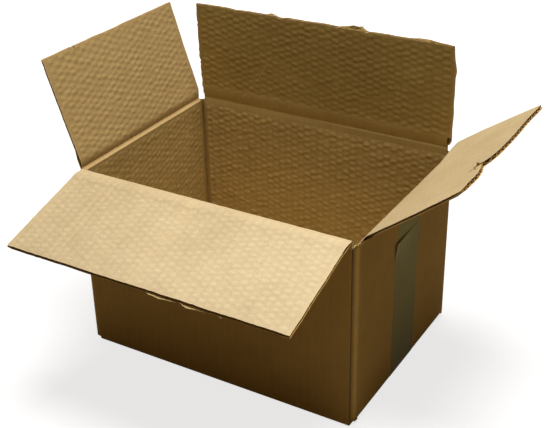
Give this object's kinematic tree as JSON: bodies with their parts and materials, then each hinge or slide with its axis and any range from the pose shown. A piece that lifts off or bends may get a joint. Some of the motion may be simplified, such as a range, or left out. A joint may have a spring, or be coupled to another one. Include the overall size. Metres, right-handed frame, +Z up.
{
  "type": "moving box",
  "caption": "Open, used corrugated carton with four hinged top flaps, taped-shut bottom flaps, a glued corner seam and fluted cut edges.",
  "frame": {"origin": "centre of the underside, on the bottom tape that meets the floor", "axes": "+X along the long side from left to right, +Y from the front panel to the back panel, +Z up"},
  "size_m": [0.4082, 0.3105, 0.292],
  "materials": {
    "kraft_board": "matt brown kraft facings, dimpled where the glue took on the inner side, darker cut edges with open flutes",
    "packing_tape": "thin greyish olive packing tape with a soft sheen, wrinkled and lifted at its end"
  },
  "bodies": {
    "box": {"box_body": "kraft_board", "bottom_tape": "packing_tape", "top_tape_tail": "packing_tape"},
    "flap_front": {"front_flap": "kraft_board"},
    "flap_back": {"back_flap": "kraft_board"},
    "flap_left": {"left_flap": "kraft_board"},
    "flap_right": {"right_flap": "kraft_board"}
  },
  "joints": [
    {"name": "front_crease", "type": "hinge", "parent": "box", "child": "flap_front", "pos_m": [0, -0.1042, 0.19006], "axis": [-1, 0, 0], "range_deg": [-67.6, 197.4]},
    {"name": "back_crease", "type": "hinge", "parent": "box", "child": "flap_back", "pos_m": [0, 0.1042, 0.19006], "axis": [1, 0, 0], "range_deg": [-176.2, 88.8]},
    {"name": "left_crease", "type": "hinge", "parent": "box", "child": "flap_left", "pos_m": [-0.1452, 0, 0.18616], "axis": [0, 1, 0], "range_deg": [-156.8, 108.2]},
    {"name": "right_crease", "type": "hinge", "parent": "box", "child": "flap_right", "pos_m": [0.1452, 0, 0.18616], "axis": [0, -1, 0], "range_deg": [-120.9, 144.1]}
  ]
}
